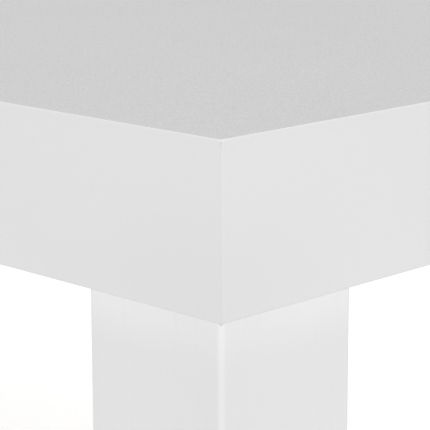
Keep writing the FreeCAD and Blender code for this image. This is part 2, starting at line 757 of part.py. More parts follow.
def make_insert(corner):
    """The threaded insert that a levelling foot screws into."""
    inner = "sizes.stem_radius + sizes.fit_gap"
    body = turned(f"insert_{corner}", [
        (inner, "0"),
        ("sizes.insert_flange_radius", "0"),
        ("sizes.insert_flange_radius", "sizes.insert_flange_thick"),
        ("sizes.insert_radius", "sizes.insert_flange_thick"),
        ("sizes.insert_radius", "sizes.insert_length"),
        (inner, "sizes.insert_length"),
    ])
    stand_at_corner(body, corner, HALF_LEG, HALF_LEG, "sizes.leg_bottom")
    name_part(body, f"leg_insert_{corner}")


def make_foot(corner):
    """A levelling foot: a pad that keeps still and a stem that turns in it and in the leg."""
    head_top = "(sizes.pad_height - sizes.pad_lip)"
    head_bottom = f"({head_top} - sizes.stem_head_height)"
    cup = f"({head_bottom} - sizes.pad_gap)"
    throat = "sizes.stem_neck_radius + sizes.pad_gap"
    room = "sizes.stem_head_radius + sizes.pad_gap"
    pad_body = turned(f"pad_{corner}", [
        ("0", "0"),
        ("sizes.pad_radius", "0"),
        ("sizes.pad_radius", "sizes.pad_height - sizes.pad_bevel"),
        ("sizes.pad_radius - sizes.pad_bevel", "sizes.pad_height"),
        (throat, "sizes.pad_height"),
        (throat, f"{head_top} + sizes.pad_gap"),
        (room, f"{head_top} + sizes.pad_gap"),
        (room, cup),
        ("0", cup),
    ])
    stand_at_corner(pad_body, corner, HALF_LEG, HALF_LEG)
    name_part(pad_body, f"leveller_pad_{corner}")

    hex_bottom = "(sizes.pad_height + sizes.pad_gap)"
    hex_top = f"({hex_bottom} + sizes.stem_hex_height)"
    end = f"({hex_top} + sizes.stem_length)"
    stem = turned(f"stem_{corner}", [
        ("0", head_bottom),
        ("sizes.stem_head_radius", head_bottom),
        ("sizes.stem_head_radius", head_top),
        ("sizes.stem_neck_radius", head_top),
        ("sizes.stem_neck_radius", hex_top),
        ("sizes.stem_radius", hex_top),
        ("sizes.stem_radius", f"{end} - sizes.stem_bevel"),
        ("sizes.stem_radius - sizes.stem_bevel", end),
        ("0", end),
    ])
    pad(stem, "stem_hexagon", hexagon("sizes.stem_hex_flats"), "sizes.stem_hex_height", hex_bottom)
    stand_at_corner(stem, corner, HALF_LEG, HALF_LEG)
    name_part(stem, f"leveller_stem_{corner}")


# ---- Build and write ----

make_top()
for side in APRON_STARTS:
    make_apron(side)
for corner in CORNER_TURNS:
    make_spline(corner)
    make_leg(corner)
    make_brace(corner)
    make_insert(corner)
    make_foot(corner)
for side in RAILS:
    make_rail(side)
make_glue_blocks()
make_screws()
make_dowels()
make_bolts()
doc.recompute()

for item in doc.Objects:
    if "Invalid" in item.State or "Error" in item.State:
        raise RuntimeError(f"{item.Name} is {item.State}")
for item in sub_parts:
    if item.Shape.isNull() or not item.Shape.isValid():
        raise RuntimeError(f"{item.Label} has no valid shape")

os.makedirs("parts", exist_ok=True)
for item in sub_parts:
    item.Shape.exportStep(f"parts/{item.Label}.step")
print(f"{len(sub_parts)} sub-parts written")
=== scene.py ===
import math

import bmesh
import bpy
from mathutils import Matrix, Vector


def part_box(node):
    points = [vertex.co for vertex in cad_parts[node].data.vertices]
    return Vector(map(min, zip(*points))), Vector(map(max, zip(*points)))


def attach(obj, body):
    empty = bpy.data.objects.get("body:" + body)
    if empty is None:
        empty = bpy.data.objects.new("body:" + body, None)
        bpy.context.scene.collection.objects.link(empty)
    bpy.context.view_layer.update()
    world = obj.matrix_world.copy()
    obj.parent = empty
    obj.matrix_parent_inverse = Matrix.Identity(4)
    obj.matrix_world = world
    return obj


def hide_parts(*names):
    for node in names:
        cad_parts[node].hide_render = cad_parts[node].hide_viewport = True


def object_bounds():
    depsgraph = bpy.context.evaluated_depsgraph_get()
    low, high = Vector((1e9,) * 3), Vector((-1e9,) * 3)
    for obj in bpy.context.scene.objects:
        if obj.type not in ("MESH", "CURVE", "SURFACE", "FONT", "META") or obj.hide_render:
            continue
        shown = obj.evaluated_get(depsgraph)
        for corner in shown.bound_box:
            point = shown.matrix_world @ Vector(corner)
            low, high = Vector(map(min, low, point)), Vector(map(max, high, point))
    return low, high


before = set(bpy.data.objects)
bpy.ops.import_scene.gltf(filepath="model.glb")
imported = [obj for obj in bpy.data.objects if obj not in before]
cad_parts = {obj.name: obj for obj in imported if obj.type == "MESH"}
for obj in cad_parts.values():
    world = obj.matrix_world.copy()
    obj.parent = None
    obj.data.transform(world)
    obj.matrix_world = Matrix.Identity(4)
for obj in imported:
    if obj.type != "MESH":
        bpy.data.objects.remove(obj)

# Parsons dining table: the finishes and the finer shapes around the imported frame.
# Metres, +X along the table, the front at -Y, +Z up.

mm = 0.001
hair = 0.02 * mm  # two points nearer than this are in one place
weld = hair / 10  # and nearer than this they are merged
crease = math.radians(32)  # a sharper edge than this isn't shaded smooth
noiseLow, noiseMean, noiseHigh = 0.3, 0.5, 0.7  # about where the values of a noise lie
cadLow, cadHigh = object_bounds()
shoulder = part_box("apron_front")[0].z  # lower edge of the aprons, where the legs' shafts end

# Each corner's own frame: its turn in degrees, and the signs of X and Y at that corner.
# Its X and Y run inwards along the two aprons that meet there.
corners = {
    "front_left": (0, -1, -1),
    "front_right": (90, 1, -1),
    "back_right": (180, 1, 1),
    "back_left": (270, -1, 1),
}
apronStarts = {
    "front": "front_left",
    "right": "front_right",
    "back": "back_right",
    "left": "back_left",
}


def cornerFrame(corner):
    turn, signX, signY = corners[corner]
    turned = Matrix.Rotation(math.radians(turn), 4, "Z")
    square = Matrix([[round(part) for part in row] for row in turned])  # free of rounding errors
    return Matrix.Translation((signX * cadHigh.x, signY * cadHigh.y, 0)) @ square


def linear(level):  # a screen level from 0 to 255 as light
    part = level / 255
    return part / 12.92 if part <= 0.04045 else ((part + 0.055) / 1.055) ** 2.4


def tone(red, green, blue):
    return (linear(red), linear(green), linear(blue), 1)


def grey(level):
    return tone(level, level, level)


class Value:  # a socket that Python's operators turn into Math nodes
    def __init__(self, paint, socket):
        self.paint = paint
        self.socket = socket

    def sum(self, operation, first, second):
        return self.paint.node("ShaderNodeMath", {"operation": operation}, {0: first, 1: second})

    def __add__(self, other):
        return self.sum("ADD", self, other)

    def __radd__(self, other):
        return self.sum("ADD", other, self)

    def __sub__(self, other):
        return self.sum("SUBTRACT", self, other)

    def __rsub__(self, other):
        return self.sum("SUBTRACT", other, self)

    def __mul__(self, other):
        return self.sum("MULTIPLY", self, other)

    def __rmul__(self, other):
        return self.sum("MULTIPLY", other, self)


class Paint:  # the nodes of one material, or of the world
    def __init__(self, owner):
        self.owner = owner
        owner.use_nodes = True
        self.tree = owner.node_tree
        self.tree.nodes.clear()

    def node(self, kind, settings=None, sockets=None, output=0):
        made = self.tree.nodes.new(kind)
        for name, setting in (settings or {}).items():
            setattr(made, name, setting)
        for name, given in (sockets or {}).items():
            if isinstance(given, Value):
                self.tree.links.new(given.socket, made.inputs[name])
            else:
                made.inputs[name].default_value = given
        return Value(self, made.outputs[output]) if made.outputs else None

    def place(self):  # a point of the table, in metres
        return self.node("ShaderNodeTexCoord", output="Object")

    def axis(self, name, place=None):
        return self.node("ShaderNodeSeparateXYZ", None, {0: place or self.place()}, name)

    def noise(self, size, detail=2, roughness=0.5, place=None):
        where = place or self.place()
        sockets = {"Vector": where, "Scale": 1 / size, "Detail": detail, "Roughness": roughness}
        return self.node("ShaderNodeTexNoise", None, sockets)

    def grain(self, turn, long, wide, tall):  # the place, turned about Z and counted in grain sizes
        angles = (0, 0, math.radians(turn))
        sockets = {"Vector": self.place(), "Rotation": angles, "Scale": (long, wide, tall)}
        return self.node("ShaderNodeMapping", {"vector_type": "TEXTURE"}, sockets)

    def between(self, value, low, high, start=0.0, end=1.0):
        sockets = {"Value": value, "From Min": low, "From Max": high, "To Min": start, "To Max": end}
        return self.node("ShaderNodeMapRange", {"interpolation_type": "SMOOTHSTEP"}, sockets)

    def rough(self, noise, span):  # a roughness that follows a noise
        return self.between(noise, noiseLow, noiseHigh, *span)

    def mix(self, amount, first, second):
        return self.node("ShaderNodeMix", {"data_type": "RGBA"}, {0: amount, 6: first, 7: second}, 2)

    def smallest(self, first, second):
        return self.node("ShaderNodeMath", {"operation": "MINIMUM"}, {0: first, 1: second})

    def size(self, value):  # without its sign
        return self.node("ShaderNodeMath", {"operation": "ABSOLUTE"}, {0: value})

    def fromOutline(self):  # how far in from the table's sides, along X and along Y
        return cadHigh.x - self.size(self.axis("X")), cadHigh.y - self.size(self.axis("Y"))

    def bump(self, height, depth):
        return self.node("ShaderNodeBump", None, {"Height": height, "Distance": depth})

    def finish(self, sockets):
        shader = self.node("ShaderNodeBsdfPrincipled", None, sockets)
        self.node("ShaderNodeOutputMaterial", None, {"Surface": shader})
        return self.owner


def newPaint(name):
    return Paint(bpy.data.materials.new(name))


sheetLook = {
    "dark": grey(172), "light": grey(200), "specular": 0.5,
    "pebble": 0.8 * mm, "grit": 0.4 * mm, "contrast": 2.6, "cloud": 160 * mm, "cloudShare": 0.2,
    "relief": 0.06 * mm, "reliefSpan": (0.35, 0.65), "gloss": (0.46, 0.34),
    "rim": grey(226), "rimInset": (0.28 * mm, 0.4 * mm), "rimDrop": (0.05 * mm, 0.2 * mm),
    "rimSize": 3 * mm, "rimWander": 0.5 * mm,
}


def texturedSheet():  # pebbled and grey, its eased edge white where the lacquer runs over it
    look = sheetLook
    paint = newPaint("texturedSheet")
    grit = paint.noise(look["grit"], detail=1, roughness=0.6)
    relief = (paint.noise(look["pebble"], detail=1) + grit) * 0.5
    clouds = (paint.noise(look["cloud"], detail=3) - noiseMean) * look["cloudShare"]
    speckle = (relief - noiseMean) * look["contrast"] + clouds + 0.5
    face = paint.mix(speckle, look["dark"], look["light"])
    wander = (paint.noise(look["rimSize"], detail=3) - noiseMean) * look["rimWander"]
    inset = paint.smallest(*paint.fromOutline()) + wander
    drop = cadHigh.z - paint.axis("Z")
    field = paint.between(inset, *look["rimInset"]) * paint.between(drop, *look["rimDrop"], 1, 0)
    return paint.finish({
        "Base Color": paint.mix(field, look["rim"], face),
        "Roughness": paint.between(relief, *look["reliefSpan"], *look["gloss"]),
        "Normal": paint.bump(relief * field, look["relief"]),
        "Specular IOR Level": look["specular"],
    })


apronLook = {
    # the corner tone is painted shade, laid on towards the lower corners
    "coat": grey(225), "corner": grey(222), "cornerShadeReach": 110 * mm,
    "patch": grey(220), "patchSize": 120 * mm, "patchSpan": (0.45, 0.8), "patchShare": 0.3,
    "peel": 1.4 * mm, "peelDepth": 0.012 * mm, "gloss": (0.44, 0.54),
}


def apronLacquer():  # sprayed and rubbed down on fibreboard: even, with a faint orange peel, and painted shade towards the lower corners
    look = apronLook
    low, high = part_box("apron_front")
    paint = newPaint("apronLacquer")
    patches = paint.noise(look["patchSize"], detail=3)
    patched = paint.between(patches, *look["patchSpan"], 0, look["patchShare"])
    rise = paint.between(paint.axis("Z"), low.z, high.z)
    insetX, insetY = paint.fromOutline()
    # painted shade: darker near each corner, most at the aprons' lower edge
    corner = paint.between(insetX + insetY, 0, look["cornerShadeReach"], 1, 0) * (1 - rise)
    coat = paint.mix(corner, look["coat"], look["corner"])
    return paint.finish({
        "Base Color": paint.mix(patched, coat, look["patch"]),
        "Roughness": paint.rough(patches, look["gloss"]),
        "Normal": paint.bump(paint.noise(look["peel"]), look["peelDepth"]),
    })


legLook = {
    # the upper tone is painted light, fading in towards the shoulder
    "upper": grey(233), "lower": grey(225), "paintedLightFade": 27 * mm,
    # the corner tone is painted shade at the leg's outer edge
    "corner": grey(219), "cornerShadeReach": (5 * mm, 70 * mm), "cornerShadeShare": 0.3,
    "fibreTone": grey(221), "fibreWide": 4.5 * mm, "fibreLong": 110 * mm,
    "fibreSpan": (0.5, 0.8), "fibreShare": 0.3,
    "peel": 2.2 * mm, "peelShare": 0.7, "relief": 0.01 * mm,
    "gloss": (0.36, 0.42), "coat": 0.2, "coatRoughness": 0.3,
}


def legLacquer():  # a fuller, glossier coat, with painted light towards the leg's upper end and painted shade near its outer edge
    look = legLook
    paint = newPaint("legLacquer")
    fibreSize = (look["fibreWide"], look["fibreWide"], look["fibreLong"])
    fibres = paint.noise(1, place=paint.grain(0, *fibreSize))
    shownFibres = paint.between(fibres, *look["fibreSpan"], 0, look["fibreShare"])
    # painted light: the coat lightens towards the shoulder
    paintedTopLight = paint.between(paint.axis("Z"), shoulder - look["paintedLightFade"], shoulder)
    insetX, insetY = paint.fromOutline()
    # painted shade: darker towards the leg's outer corner edge
    paintedCornerShade = paint.between(insetX + insetY, *look["cornerShadeReach"], look["cornerShadeShare"], 0)
    coat = paint.mix(paintedTopLight, look["lower"], look["upper"])
    coat = paint.mix(paintedCornerShade, coat, look["corner"])
    relief = paint.noise(look["peel"]) * look["peelShare"] + fibres * (1 - look["peelShare"])
    return paint.finish({
        "Base Color": paint.mix(shownFibres, coat, look["fibreTone"]),
        "Roughness": paint.rough(fibres, look["gloss"]),
        "Normal": paint.bump(relief, look["relief"]),
        "Coat Weight": look["coat"],
        "Coat Roughness": look["coatRoughness"],
    })


beechLook = {
    "pale": tone(214, 176, 134), "dark": tone(166, 120, 80), "relief": 0.05 * mm,
    "long": 260 * mm, "wide": 9 * mm, "ringDepth": 0.22,
    "fibreLong": 22 * mm, "fibreWide": 0.7 * mm,
    "fleckLong": 3.2 * mm, "fleckWide": 0.55 * mm, "fleckFrom": 0.62, "fleckDepth": 0.35,
}
pineLook = {
    "pale": tone(232, 203, 152), "dark": tone(191, 138, 82), "relief": 0.06 * mm,
    "long": 420 * mm, "wide": 5.5 * mm, "ringDepth": 0.62,
    "fibreLong": 40 * mm, "fibreWide": 0.6 * mm,
    "fleckLong": 9 * mm, "fleckWide": 0.4 * mm, "fleckFrom": 0.66, "fleckDepth": 0.2,
}
woodGrain = {  # the same for both woods
    "lean": 0.6,  # rings crossed along Z for each one along Y
    "wander": 3, "wanderShare": 0.15,
    "lateFrom": 0.55, "fleckSpan": 0.08, "fibreShare": 0.5, "shadeRelief": 0.5,
    "gloss": (0.5, 0.68),
}


def timber(name, turn, look):  # long fibres, darker late wood between them, and flecks
    paint = newPaint(name + str(turn))
    along = paint.grain(turn, look["long"], look["wide"], look["wide"])
    wander = paint.noise(1, detail=3, roughness=0.55, place=along)
    across = paint.axis("Y", along) + paint.axis("Z", along) * woodGrain["lean"]
    across = across + wander * woodGrain["wander"]
    rings = paint.node("ShaderNodeMath", {"operation": "PINGPONG"}, {0: across, 1: 1.0})
    lateWood = paint.between(rings, woodGrain["lateFrom"], 1, 0, look["ringDepth"])
    fibrePlace = paint.grain(turn, look["fibreLong"], look["fibreWide"], look["fibreWide"])
    fibres = paint.noise(1, detail=3, roughness=0.6, place=fibrePlace)
    fleckPlace = paint.grain(turn, look["fleckLong"], look["fleckWide"], look["fleckWide"])
    fleckTo = look["fleckFrom"] + woodGrain["fleckSpan"]
    flecks = paint.noise(1, detail=1, place=fleckPlace)
    flecks = paint.between(flecks, look["fleckFrom"], fleckTo, 0, look["fleckDepth"])
    shade = lateWood + (fibres - noiseMean) * woodGrain["fibreShare"]
    shade = shade + flecks + wander * woodGrain["wanderShare"]
    return paint.finish({
        "Base Color": paint.mix(shade, look["pale"], look["dark"]),
        "Roughness": paint.rough(fibres, woodGrain["gloss"]),
        "Normal": paint.bump(fibres - shade * woodGrain["shadeRelief"], look["relief"]),
    })


boardLook = {
    "dark": tone(150, 119, 84), "light": tone(188, 156, 117),
    "fibre": 0.8 * mm, "felt": 9 * mm, "fibreShare": 0.7,
    "relief": 0.08 * mm, "gloss": (0.75, 0.9),
}


def fibreboard():  # pressed fibres, seen at the core board's faces and edges
    look = boardLook
    paint = newPaint("fibreboard")
    fibres = paint.noise(look["fibre"], detail=3, roughness=0.65)
    shade = fibres * look["fibreShare"] + paint.noise(look["felt"]) * (1 - look["fibreShare"])
    return paint.finish({
        "Base Color": paint.mix(shade, look["dark"], look["light"]),
        "Roughness": paint.rough(fibres, look["gloss"]),
        "Normal": paint.bump(fibres, look["relief"]),
    })


backerLook = {
    "dark": tone(207, 204, 196), "light": tone(222, 220, 213),
    "press": 14 * mm, "cloud": 220 * mm, "relief": 0.04 * mm, "gloss": (0.5, 0.65),
}


def balancingSheet():  # the plain off-white sheet on the underside, with its press marks
    look = backerLook
    paint = newPaint("balancingSheet")
    press = paint.noise(look["press"], detail=3)
    shade = (press + paint.noise(look["cloud"])) * 0.5
    return paint.finish({
        "Base Color": paint.mix(shade, look["dark"], look["light"]),
        "Roughness": paint.rough(press, look["gloss"]),
        "Normal": paint.bump(press, look["relief"]),
    })


zincLook = {
    "blue": tone(196, 199, 206), "warm": tone(224, 222, 212), "bloom": 5 * mm,
    "streakLong": 6 * mm, "streakWide": 0.35 * mm, "relief": 0.004 * mm, "gloss": (0.29, 0.35),
}


def zincPlate():  # bright plating with a cloudy bloom and fine drawn streaks
    look = zincLook
    paint = newPaint("zincPlate")
    bloom = paint.noise(look["bloom"], detail=3)
    streakPlace = paint.grain(0, look["streakLong"], look["streakWide"], look["streakWide"])
    streaks = paint.noise(1, place=streakPlace)
    return paint.finish({
        "Base Color": paint.mix(bloom, look["blue"], look["warm"]),
        "Metallic": 1.0,
        "Roughness": paint.rough((bloom + streaks) * 0.5, look["gloss"]),
        "Normal": paint.bump(streaks, look["relief"]),
    })


nylonLook = {
    "clean": tone(226, 225, 220), "scuffed": tone(197, 194, 186),
    "scuff": 1.6 * mm, "scuffSpan": (0.4, 0.65), "scuffShare": 0.5,
    "spark": 0.5 * mm, "relief": 0.02 * mm, "gloss": (0.42, 0.56),
}


def nylon():  # moulded, and scuffed towards the floor
    look = nylonLook
    low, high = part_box("leveller_pad_front_left")
    paint = newPaint("nylon")
    spark = paint.noise(look["spark"])
    foot = paint.between(paint.axis("Z"), low.z, high.z, look["scuffShare"], 0)
    scuffs = paint.noise(look["scuff"], detail=4, roughness=0.6)
    scuffs = foot * paint.between(scuffs, *look["scuffSpan"])
    return paint.finish({
        "Base Color": paint.mix(scuffs, look["clean"], look["scuffed"]),
        "Roughness": paint.rough(spark, look["gloss"]),
        "Normal": paint.bump(spark, look["relief"]),
    })


sheetFace, apronPaint, legPaint = texturedSheet(), apronLacquer(), legLacquer()
zinc, padPlastic = zincPlate(), nylon()
beech = {turn: timber("beech", turn, beechLook) for turn in (-45, 0, 45)}
pine = {turn: timber("pine", turn, pineLook) for turn in (0, 90)}
print("finishes made")


def near(a, b):
    return abs(a - b) < hair


def boxBetween(mesh, low, high):
    size = Vector(high) - Vector(low)
    place = Matrix.Translation((Vector(low) + Vector(high)) / 2)
    return bmesh.ops.create_cube(mesh, size=1, matrix=place @ Matrix.Diagonal((*size, 1)))["verts"]


def edgesWhere(mesh, test):
    return [edge for edge in mesh.edges if test(*(vert.co for vert in edge.verts))]


def edgesAmong(mesh, verts):  # the edges that join two of these points
    known = set(verts)
    return [edge for edge in mesh.edges if known.issuperset(edge.verts)]


def upright(a, b):
    return near(a.x, b.x) and near(a.y, b.y)


def atHeight(z):
    return lambda a, b: near(a.z, z) and near(b.z, z)


def roundOff(mesh, edges, size, segments):
    bmesh.ops.bevel(
        mesh, geom=edges, offset=size, offset_type="OFFSET", affect="EDGES",
        segments=segments, profile=0.5, material=-1, clamp_overlap=True)


def spinProfile(mesh, points, steps):  # points are (radius, height) in mm, turned about Z
    verts = [mesh.verts.new((radius * mm, 0, height * mm)) for radius, height in points]
    edges = [mesh.edges.new(pair) for pair in zip(verts, verts[1:])]
    bmesh.ops.spin(
        mesh, geom=verts + edges, cent=(0, 0, 0), axis=(0, 0, 1), angle=math.tau,
        steps=steps, use_merge=True)
    bmesh.ops.remove_doubles(mesh, verts=mesh.verts, dist=weld)
    bmesh.ops.dissolve_degenerate(mesh, edges=mesh.edges, dist=weld)


def makePiece(name, mesh, body, paint, node):
    bmesh.ops.remove_doubles(mesh, verts=mesh.verts, dist=weld)
    bmesh.ops.recalc_face_normals(mesh, faces=mesh.faces)
    for face in mesh.faces:
        face.smooth = True
    for edge in mesh.edges:
        edge.smooth = edge.calc_face_angle(math.pi) < crease
    data = bpy.data.meshes.new(name)
    mesh.to_mesh(data)
    mesh.free()
    data.materials.append(paint)
    piece = bpy.data.objects.new(name, data)
    bpy.context.scene.collection.objects.link(piece)
    evenShading = piece.modifiers.new("evenShading", "WEIGHTED_NORMAL")
    evenShading.keep_sharp = True
    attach(piece, body)
    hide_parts(node)


topSheet = {"cornerRadius": 2.5 * mm, "easedEdge": 0.25 * mm}


def makeTopSheet():  # one thin sheet, its corners filed round and its upper edge eased
    low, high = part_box("top_laminate")
    mesh = bmesh.new()
    boxBetween(mesh, low, high)
    roundOff(mesh, edgesWhere(mesh, upright), topSheet["cornerRadius"], segments=8)
    roundOff(mesh, edgesWhere(mesh, atHeight(high.z)), topSheet["easedEdge"], segments=3)
    makePiece("topSheet", mesh, "table_frame", sheetFace, "top_laminate")


apronBoard = {
    "lip": 9 * mm, "lowerOuter": 0.15 * mm, "lowerInner": 0.5 * mm,
    "mitreRadius": 0.13 * mm, "mitreCuts": (22.5, 45),  # degrees off the apron's face
    "seamOpen": 0.07 * mm, "seamDepth": 3.6 * mm,
}


def shave(mesh, place, outwards):  # cut off everything beyond a plane and close the cut
    everything = mesh.verts[:] + mesh.edges[:] + mesh.faces[:]
    cut = bmesh.ops.bisect_plane(
        mesh, geom=everything, plane_co=place, plane_no=outwards, clear_outer=True)["geom_cut"]
    rim = [part for part in cut if isinstance(part, bmesh.types.BMEdge)]
    bmesh.ops.holes_fill(mesh, edges=rim, sides=0)


def makeApron(side):
    # a rebated board mitred at both ends, its lower edges eased
    # the mitre stands open by a hair at the very top
    low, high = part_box("apron_" + side)
    along = cadHigh - cadLow
    length = along.x if side in ("front", "back") else along.y
    thick = min(high.x - low.x, high.y - low.y)
    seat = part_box("top_backer")[0].z
    section = [(0, low.z), (thick, low.z), (thick, seat)]
    section += [(apronBoard["lip"], seat), (apronBoard["lip"], high.z), (0, high.z)]
    mesh = bmesh.new()
    startFace = mesh.faces.new([mesh.verts.new((0, y, z)) for y, z in section])
    board = bmesh.ops.extrude_face_region(mesh, geom=[startFace])["geom"]
    farEnd = [part for part in board if isinstance(part, bmesh.types.BMVert)]
    bmesh.ops.translate(mesh, verts=farEnd, vec=(length, 0, 0))
    everything = mesh.verts[:] + mesh.edges[:] + mesh.faces[:]
    seamFoot = high.z - apronBoard["seamDepth"]
    bmesh.ops.bisect_plane(mesh, geom=everything, plane_co=(0, 0, seamFoot), plane_no=(0, 0, 1))
    for vert in mesh.verts:
        slack = apronBoard["seamOpen"] if near(vert.co.y, 0) and near(vert.co.z, high.z) else 0
        setBack = vert.co.y + slack
        vert.co.x += setBack if near(vert.co.x, 0) else -setBack
    for y, size in ((0, apronBoard["lowerOuter"]), (thick, apronBoard["lowerInner"])):
        lower = edgesWhere(mesh, atHeight(low.z))
        lower = [edge for edge in lower if all(near(vert.co.y, y) for vert in edge.verts)]
        roundOff(mesh, lower, size, segments=3)
    radius = apronBoard["mitreRadius"]
    for end, sign in ((0, -1), (length, 1)):
        for degrees in apronBoard["mitreCuts"]:
            tilt = math.radians(degrees)
            outwards = Vector((sign * math.sin(tilt), -math.cos(tilt), 0))
            shave(mesh, Vector((end - sign * radius, radius, 0)) + outwards * radius, outwards)
    mesh.transform(cornerFrame(apronStarts[side]))
    name, node = "apronBoard_" + side, "apron_" + side
    makePiece(name, mesh, "table_frame", apronPaint, node)


legPost = {
    "edgeRadius": 3.1 * mm, "footBevel": 2 * mm,
    "stubFrom": 18 * mm, "stubTo": 87 * mm, "stubChamfer": 21 * mm,
    "stubSunk": 1 * mm,  # how far the stub's lower end is sunk in the shaft
    "bore": [  # (radius, depth) in mm
        (9.05, 0), (9.05, 1.5), (6.55, 1.5), (6.55, 18), (4.5, 18), (4.5, 50)],
}


def makeLeg(corner):
    # a square post with rounded long edges, a bored lower end and a notched stub above
    low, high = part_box("leg_" + corner)
    side = high.x - low.x
    middle = side / 2
    mesh = bmesh.new()
    boxBetween(mesh, (0, 0, low.z), (side, side, shoulder))
    roundOff(mesh, edgesWhere(mesh, upright), legPost["edgeRadius"], segments=10)
    sole = [face for face in mesh.faces if near(face.calc_center_median().z, low.z)]
    bmesh.ops.delete(mesh, geom=sole, context="FACES_ONLY")
    rim = edgesWhere(mesh, atHeight(low.z))
    radius = legPost["bore"][0][0] * mm
    place = Matrix.Translation((middle, middle, low.z))
    hole = bmesh.ops.create_circle(mesh, segments=48, radius=radius, matrix=place)["verts"]
    ring = edgesAmong(mesh, hole)
    bmesh.ops.bridge_loops(mesh, edges=rim + ring)
    for nextRadius, depth in legPost["bore"][1:]:
        grown = bmesh.ops.extrude_edge_only(mesh, edges=ring)["geom"]
        ringVerts = [part for part in grown if isinstance(part, bmesh.types.BMVert)]
        ring = [part for part in grown if isinstance(part, bmesh.types.BMEdge)]
        share = nextRadius * mm / radius
        axis = Matrix.Translation((-middle, -middle, 0))
        bmesh.ops.scale(mesh, verts=ringVerts, vec=(share, share, 1), space=axis)
        for vert in ringVerts:
            vert.co.z = low.z + depth * mm
        radius = nextRadius * mm
    bmesh.ops.holes_fill(mesh, edges=ring, sides=0)
    roundOff(mesh, rim, legPost["footBevel"], segments=3)

    inner, outer = legPost["stubFrom"], legPost["stubTo"]
    foot = shoulder - legPost["stubSunk"]
    stub = boxBetween(mesh, (inner, inner, foot), (outer, outer, high.z))
    inside = [vert for vert in stub if near(vert.co.x, outer) and near(vert.co.y, outer)]
    roundOff(mesh, edgesAmong(mesh, inside), legPost["stubChamfer"], segments=1)
    mesh.transform(cornerFrame(corner))
    makePiece("legPost_" + corner, mesh, "table_frame", legPaint, "leg_" + corner)


footPad = {  # (radius, height) in mm
    "grip": [(0, 0.3), (4, 0.3), (4.4, 0), (9, 0), (9.4, 0.3), (10.6, 0.3), (11, 0)],
    "edge": [(18.4, 0), (19, 0.6), (19, 3.6), (18.6, 4.6), (17.6, 5.3)],
    "dish": [(15.5, 5.6), (11, 5.8), (8.6, 6.1), (7.9, 6.8), (7.6, 7)],
    "socket": [(3.25, 7), (3.25, 5.45), (5.25, 5.45), (5.25, 2.75), (0, 2.75)],
}


def footPlace(corner):
    low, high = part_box("leveller_pad_" + corner)
    return Matrix.Translation(((low.x + high.x) / 2, (low.y + high.y) / 2, 0))


def makePad(corner):
    outline = footPad["grip"] + footPad["edge"] + footPad["dish"] + footPad["socket"]
    mesh = bmesh.new()
    spinProfile(mesh, outline, steps=64)
    mesh.transform(footPlace(corner))
    node = "leveller_pad_" + corner
    makePiece("footPad_" + corner, mesh, "pad_" + corner, padPlastic, node)


# A thread's tooth is (radius in mm, share of the pitch), spun upwards in so many steps a turn.
machineThread = {
    "tooth": [(3.4, 0), (4, 0.42), (4, 0.55), (3.4, 1)],
    "pitch": 1.25 * mm, "steps": 24,
}
woodThread = {
    "tooth": [(2.9, 0), (2.9, 0.34), (4, 0.47), (4, 0.51), (2.9, 0.64), (2.9, 1)],
    "pitch": 3 * mm, "steps": 24,
}


def screwThread(mesh, shape, start, length):
    pitch, steps = shape["pitch"], shape["steps"]
    known = set(mesh.verts)
    tooth = [(radius * mm, 0, start + share * pitch) for radius, share in shape["tooth"]]
    verts = [mesh.verts.new(point) for point in tooth]
    edges = [mesh.edges.new(pair) for pair in zip(verts, verts[1:])]
    turns = int(length / pitch) - 1
    bmesh.ops.spin(
        mesh, geom=verts + edges, cent=(0, 0, 0), axis=(0, 0, 1), dvec=(0, 0, pitch / steps),
        angle=math.tau * turns, steps=steps * turns)
    made = [vert for vert in mesh.verts if vert not in known]
    bmesh.ops.remove_doubles(mesh, verts=made, dist=weld)
    ends = [edge for edge in mesh.edges if edge.is_boundary]
    bmesh.ops.holes_fill(mesh, edges=ends, sides=0)


footStem = {  # (radius, height) in mm
    "head": [(0, 3), (4.6, 3), (5, 3.3), (5, 4.8), (4.6, 5.2), (3, 5.2), (3, 7.6), (0, 7.6)],
    "core": [(0, 11), (3.4, 11), (3.4, 51), (2.8, 51.8), (0, 51.8)],
    "hexLow": 7.25 * mm, "hexHigh": 11.85 * mm, "flats": 13 * mm, "hexEase": 0.7 * mm,
    "threadStart": 11.6 * mm, "threadLength": 39.5 * mm,
}


def makeStem(corner):
    # a riveted head in the pad, a hexagon with its corners turned off, and the threaded stem
    mesh = bmesh.new()
    spinProfile(mesh, footStem["head"], steps=32)
    spinProfile(mesh, footStem["core"], steps=24)
    low, high = footStem["hexLow"], footStem["hexHigh"]
    outside = footStem["flats"] / math.sqrt(3)
    block = bmesh.ops.create_cone(
        mesh, cap_ends=True, segments=6, radius1=outside, radius2=outside, depth=high - low,
        matrix=Matrix.Translation((0, 0, (low + high) / 2)))["verts"]
    rims = [edge for edge in edgesAmong(mesh, block) if near(*(vert.co.z for vert in edge.verts))]
    roundOff(mesh, rims, footStem["hexEase"], segments=2)
    screwThread(mesh, machineThread, footStem["threadStart"], footStem["threadLength"])
    mesh.transform(footPlace(corner))
    node = "leveller_stem_" + corner
    makePiece("footStem_" + corner, mesh, "stem_" + corner, zinc, node)


hangerBolt = {
    "core": [(0, 0), (1.2, 1.6), (2.8, 6), (2.8, 47.6), (3.6, 48.4), (3.6, 54), (3.3, 54.4),
             (3.3, 91), (2.6, 91.8), (0, 92)],  # (radius, height) in mm, the pointed end at 0
    "woodStart": 5 * mm, "woodLength": 43 * mm,
    "machineStart": 54.2 * mm, "machineLength": 37.2 * mm,
    "start": 58 * mm,  # from the table's corner, along its diagonal
    "fromBraceEdge": 14 * mm,  # in from the brace's upper and lower edge
}


